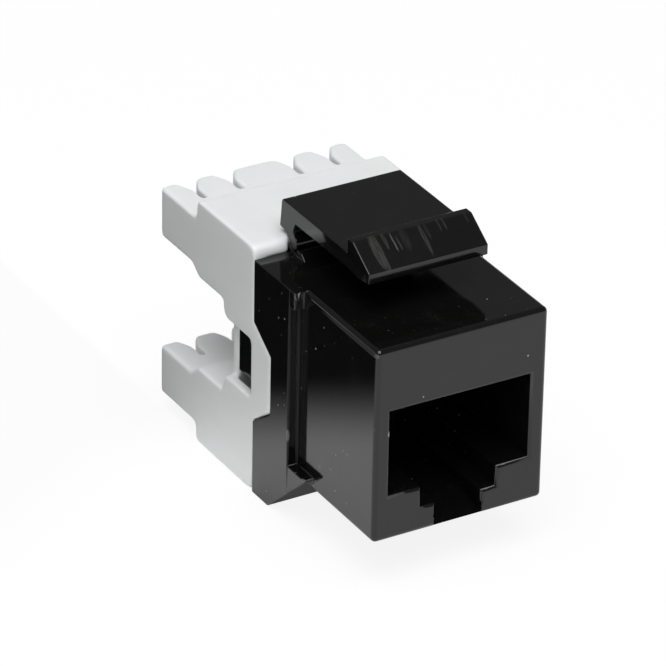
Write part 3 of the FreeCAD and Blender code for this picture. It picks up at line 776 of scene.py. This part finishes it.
def floor_material(studio):
    """A pale floor that shows white, with the jack's soft shadow on it."""
    sheet = Sheet("pale_floor")
    rays = sheet.add("ShaderNodeLightPath")
    seen = sheet.add("ShaderNodeMath", rays["Is Glossy Ray"], rays["Is Transmission Ray"],
                     operation="MAXIMUM")[0]
    plain = sheet.add("ShaderNodeBsdfDiffuse", colour(studio.floor))[0]
    shares = []
    for shadow in (studio.shadow, studio.mirrored_shadow):
        glow = sheet.add("ShaderNodeEmission", (1, 1, 1, 1), 1 - shadow)[0]
        shaded = sheet.add("ShaderNodeBsdfDiffuse", colour([shadow] * 3))[0]
        shares.append(sheet.add("ShaderNodeAddShader", glow, shaded)[0])
    mirrored = sheet.add("ShaderNodeMixShader", seen, plain, shares[1])[0]
    return sheet.finish(sheet.add("ShaderNodeMixShader", rays["Is Camera Ray"], mirrored,
                                  shares[0])[0])


def card_material(studio):
    """A black card whose edge next to the jack fades away softly."""
    sheet = Sheet("black_card")
    place = sheet.add("ShaderNodeTexCoord")["Object"]
    inward = (-sin(studio.card_turn), cos(studio.card_turn), 0)
    depth = sheet.add("ShaderNodeVectorMath", place, inward, operation="DOT_PRODUCT")["Value"]
    cover = sheet.add("ShaderNodeMapRange", depth, studio.card_edge,
                      studio.card_edge + studio.card_fade, 0.0, 1.0,
                      interpolation_type="SMOOTHSTEP")[0]
    clear = sheet.add("ShaderNodeBsdfTransparent")[0]
    dark = sheet.add("ShaderNodeBsdfDiffuse", CARD_BLACK)[0]
    return sheet.finish(sheet.add("ShaderNodeMixShader", cover, clear, dark)[0])


def lay_card(studio, floor_height):
    """Lay the black card on the floor, seen only in what the jack mirrors and gathers."""
    let_go()
    bpy.ops.mesh.primitive_plane_add(
        size=CARD_WIDTH, location=(FLANGE_LEFT - CARD_WIDTH / 2, 0, floor_height + CARD_LIFT))
    bpy.ops.object.transform_apply(location=True)
    card = bpy.context.object
    card.name = "black_card"
    card.data.materials.append(card_material(studio))
    card.visible_camera = False
    card.visible_shadow = False


def lamp(name, place, aim, size, power):
    """Hang one square soft lamp that points at a place and isn't seen itself."""
    let_go()
    bpy.ops.object.light_add(type="AREA", location=place)
    light = bpy.context.object
    light.name = name
    light.data.size = size
    light.data.energy = power
    light.rotation_euler = (Vector(aim) - Vector(place)).to_track_quat("-Z", "Y").to_euler()
    light.visible_camera = False


def room(studio):
    """A dim room with pale walls near the horizon."""
    world = bpy.data.worlds.new("soft_room")
    bpy.context.scene.world = world
    world.use_nodes = True
    tree = world.node_tree
    background = tree.nodes["Background"]
    place = tree.nodes.new("ShaderNodeTexCoord")
    split = tree.nodes.new("ShaderNodeSeparateXYZ")
    band = tree.nodes.new("ShaderNodeMapRange")
    band.interpolation_type = "SMOOTHSTEP"
    for socket, value in zip(list(band.inputs)[1:5], (PALE_WALLS, DIM_ABOVE, 1.0, studio.room)):
        socket.default_value = value
    tree.links.new(place.outputs["Generated"], split.inputs[0])
    tree.links.new(split.outputs[2], band.inputs[0])
    tree.links.new(band.outputs[0], background.inputs["Strength"])
    background.inputs["Color"].default_value = (1, 1, 1, 1)


class JACK_OT_studio(bpy.types.Operator):
    """Lay the floor, hang the lamps and set up the camera"""
    bl_idname = "jack.studio"
    bl_label = "Floor, lamps and camera"

    def execute(self, context):
        studio = context.scene.jack_studio
        low, high = CAD_BOX
        middle = (low + high) / 2
        let_go()
        bpy.ops.mesh.primitive_plane_add(size=FLOOR_WIDTH, location=(0, 0, low.z))
        floor = bpy.context.object
        floor.name = "floor"
        floor.data.materials.append(floor_material(studio))
        lay_card(studio, low.z)

        for name, away, size, power in LAMPS:
            lamp(name, middle + Vector(away), middle, size, power)
        room(studio)

        side, lift = sin(studio.turn), studio.rise
        sight = Vector((side * cos(lift), cos(studio.turn) * cos(lift), -sin(lift)))
        right = Vector((cos(studio.turn), -side, 0))
        upward = right.cross(sight)
        turn = Matrix.Rotation(-studio.roll, 3, sight)
        right, upward = turn @ right, turn @ upward
        target = Vector(studio.target)
        let_go()
        bpy.ops.object.camera_add(location=target - sight * studio.distance)
        camera = bpy.context.object
        camera.name = "jack_camera"
        camera.rotation_mode = "QUATERNION"
        camera.rotation_quaternion = Matrix((right, upward, -sight)).transposed().to_quaternion()
        camera.data.lens = studio.lens
        camera.data.sensor_width = SENSOR_WIDTH
        camera.data.clip_start = NEAREST_SEEN
        context.scene.camera = camera
        context.scene.view_settings.view_transform = "Standard"
        return {"FINISHED"}


class JACK_PT_pieces(bpy.types.Panel):
    """Lists the operators that finish the jack, and the settings they use"""
    bl_idname = "JACK_PT_pieces"
    bl_label = "Keystone jack"
    bl_space_type = "VIEW_3D"
    bl_region_type = "UI"
    bl_category = "Jack"

    def draw(self, context):
        scene = context.scene
        for operator in OPERATORS:
            self.layout.operator(operator.bl_idname)
        for settings in (scene.jack_plastic, scene.jack_metal, scene.jack_studio):
            box = self.layout.box()
            for name in settings.bl_rna.properties.keys():
                if name not in ("rna_type", "name"):
                    box.prop(settings, name)


OPERATORS = (
    JACK_OT_studio,
    JACK_OT_housing,
    JACK_OT_latch,
    JACK_OT_punch_down_block,
    JACK_OT_carrier,
    JACK_OT_contact_springs,
    JACK_OT_terminals,
    JACK_OT_board,
    JACK_OT_solder,
)
SETTINGS = (JackPlasticSettings, JackMetalSettings, JackStudioSettings)


def register():
    """Register the settings, operators and panel."""
    for entry in (*SETTINGS, *OPERATORS, JACK_PT_pieces):
        bpy.utils.register_class(entry)
    bpy.types.Scene.jack_plastic = PointerProperty(type=JackPlasticSettings)
    bpy.types.Scene.jack_metal = PointerProperty(type=JackMetalSettings)
    bpy.types.Scene.jack_studio = PointerProperty(type=JackStudioSettings)


def unregister():
    """Take out everything that register() put in."""
    del bpy.types.Scene.jack_studio
    del bpy.types.Scene.jack_metal
    del bpy.types.Scene.jack_plastic
    for entry in reversed((*SETTINGS, *OPERATORS, JACK_PT_pieces)):
        bpy.utils.unregister_class(entry)


def main():
    """Make every piece and the studio."""
    register()
    for operator in OPERATORS:
        _, name = operator.bl_idname.split(".")
        getattr(bpy.ops.jack, name)()


if __name__ == "__main__":
    main()
